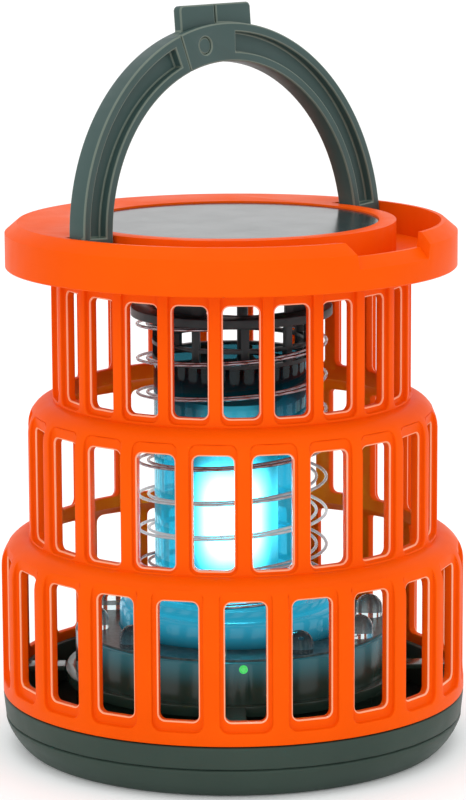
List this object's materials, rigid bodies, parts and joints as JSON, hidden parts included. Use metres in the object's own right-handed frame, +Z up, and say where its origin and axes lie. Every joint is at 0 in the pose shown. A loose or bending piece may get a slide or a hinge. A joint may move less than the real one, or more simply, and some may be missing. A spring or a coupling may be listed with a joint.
{
  "type": "electric bug zapper",
  "caption": "Lantern-shaped insect zapper with stepped grille tiers, twist-off tray, lamp inside wire coils, solar cap and folding split handle.",
  "frame": {"origin": "bottom centre of the feet, on the lantern's axis", "axes": "+Z up, handle pivots on the X axis and folds towards -Y, controls on the +Y side of the cap"},
  "size_m": [0.1344, 0.1344, 0.2138],
  "materials": {
    "orange_plastic": "satin moulded",
    "slate_plastic": "fine grained",
    "black_plastic": "moulded",
    "gloss_black_plastic": "polished",
    "rubber": "matte",
    "steel": "bright drawn wire",
    "solar_glass": "resin over cells",
    "clear_plastic": "clear, pale blue-green",
    "frosted_plastic": "frosted, lit from inside",
    "green_light": "clear green",
    "circuit_board": "lacquered",
    "cell_wrap": "shrink wrap"
  },
  "bodies": {
    "lantern": {"grille_foot": "orange_plastic", "grille_low_bars": "orange_plastic", "grille_low_shoulder": "orange_plastic", "grille_mid_bars": "orange_plastic", "grille_mid_shoulder": "orange_plastic", "grille_top_bars": "orange_plastic", "grille_top_band": "orange_plastic", "grille_screws": "steel", "cap_floor": "orange_plastic", "cap_shell": "orange_plastic", "cap_screws": "steel", "solar_panel": "solar_glass", "panel_gasket": "rubber", "main_board": "circuit_board", "usb_port": "steel", "tact_switch": "circuit_board", "cover_pin": "steel", "pivot_pins": "steel", "crown_plate": "black_plastic", "crown": "black_plastic", "grid_head": "black_plastic", "grid_foot": "black_plastic", "grid_wire_live": "steel", "grid_wire_return": "steel", "light_tube": "clear_plastic", "lamp_socket": "black_plastic", "lamp_diffuser": "frosted_plastic", "lamp_cap": "black_plastic", "lamp_board": "circuit_board", "uv_leds": "frosted_plastic", "lamp_stem": "black_plastic", "drum": "gloss_black_plastic", "drum_boss": "gloss_black_plastic", "drum_flange": "black_plastic", "drum_arms": "black_plastic", "drum_floor": "black_plastic", "drum_screws": "steel", "led_board": "circuit_board", "lamp_domes": "clear_plastic", "status_led": "green_light", "battery": "cell_wrap", "battery_cradle": "black_plastic", "drive_board": "circuit_board"},
    "tray": {"base_bowl": "slate_plastic", "base_ring": "slate_plastic", "neck_seal": "rubber", "rubber_feet": "rubber"},
    "handle": {"handle_right": "slate_plastic", "handle_left": "slate_plastic", "clasp_pin": "slate_plastic"},
    "power_key": {"mode_button": "slate_plastic"},
    "port_flap": {"port_cover": "rubber"}
  },
  "joints": [
    {"name": "tray_twist", "type": "hinge", "parent": "lantern", "child": "tray", "pos_m": [0, 0, 0.009], "axis": [0, 0, 1], "range_deg": [0, 20]},
    {"name": "handle_fold", "type": "hinge", "parent": "lantern", "child": "handle", "pos_m": [0, 0, 0.149], "axis": [1, 0, 0], "range_deg": [0, 95]},
    {"name": "power_press", "type": "slide", "parent": "lantern", "child": "power_key", "axis": [0, -1, 0], "range_m": [0, 0.0006], "stiffness_N_per_m": 800, "springref_m": -0.0002},
    {"name": "port_flap_open", "type": "hinge", "parent": "lantern", "child": "port_flap", "pos_m": [-0.005, 0.0624, 0.144], "axis": [-1, 0, 0], "range_deg": [0, 90]}
  ]
}
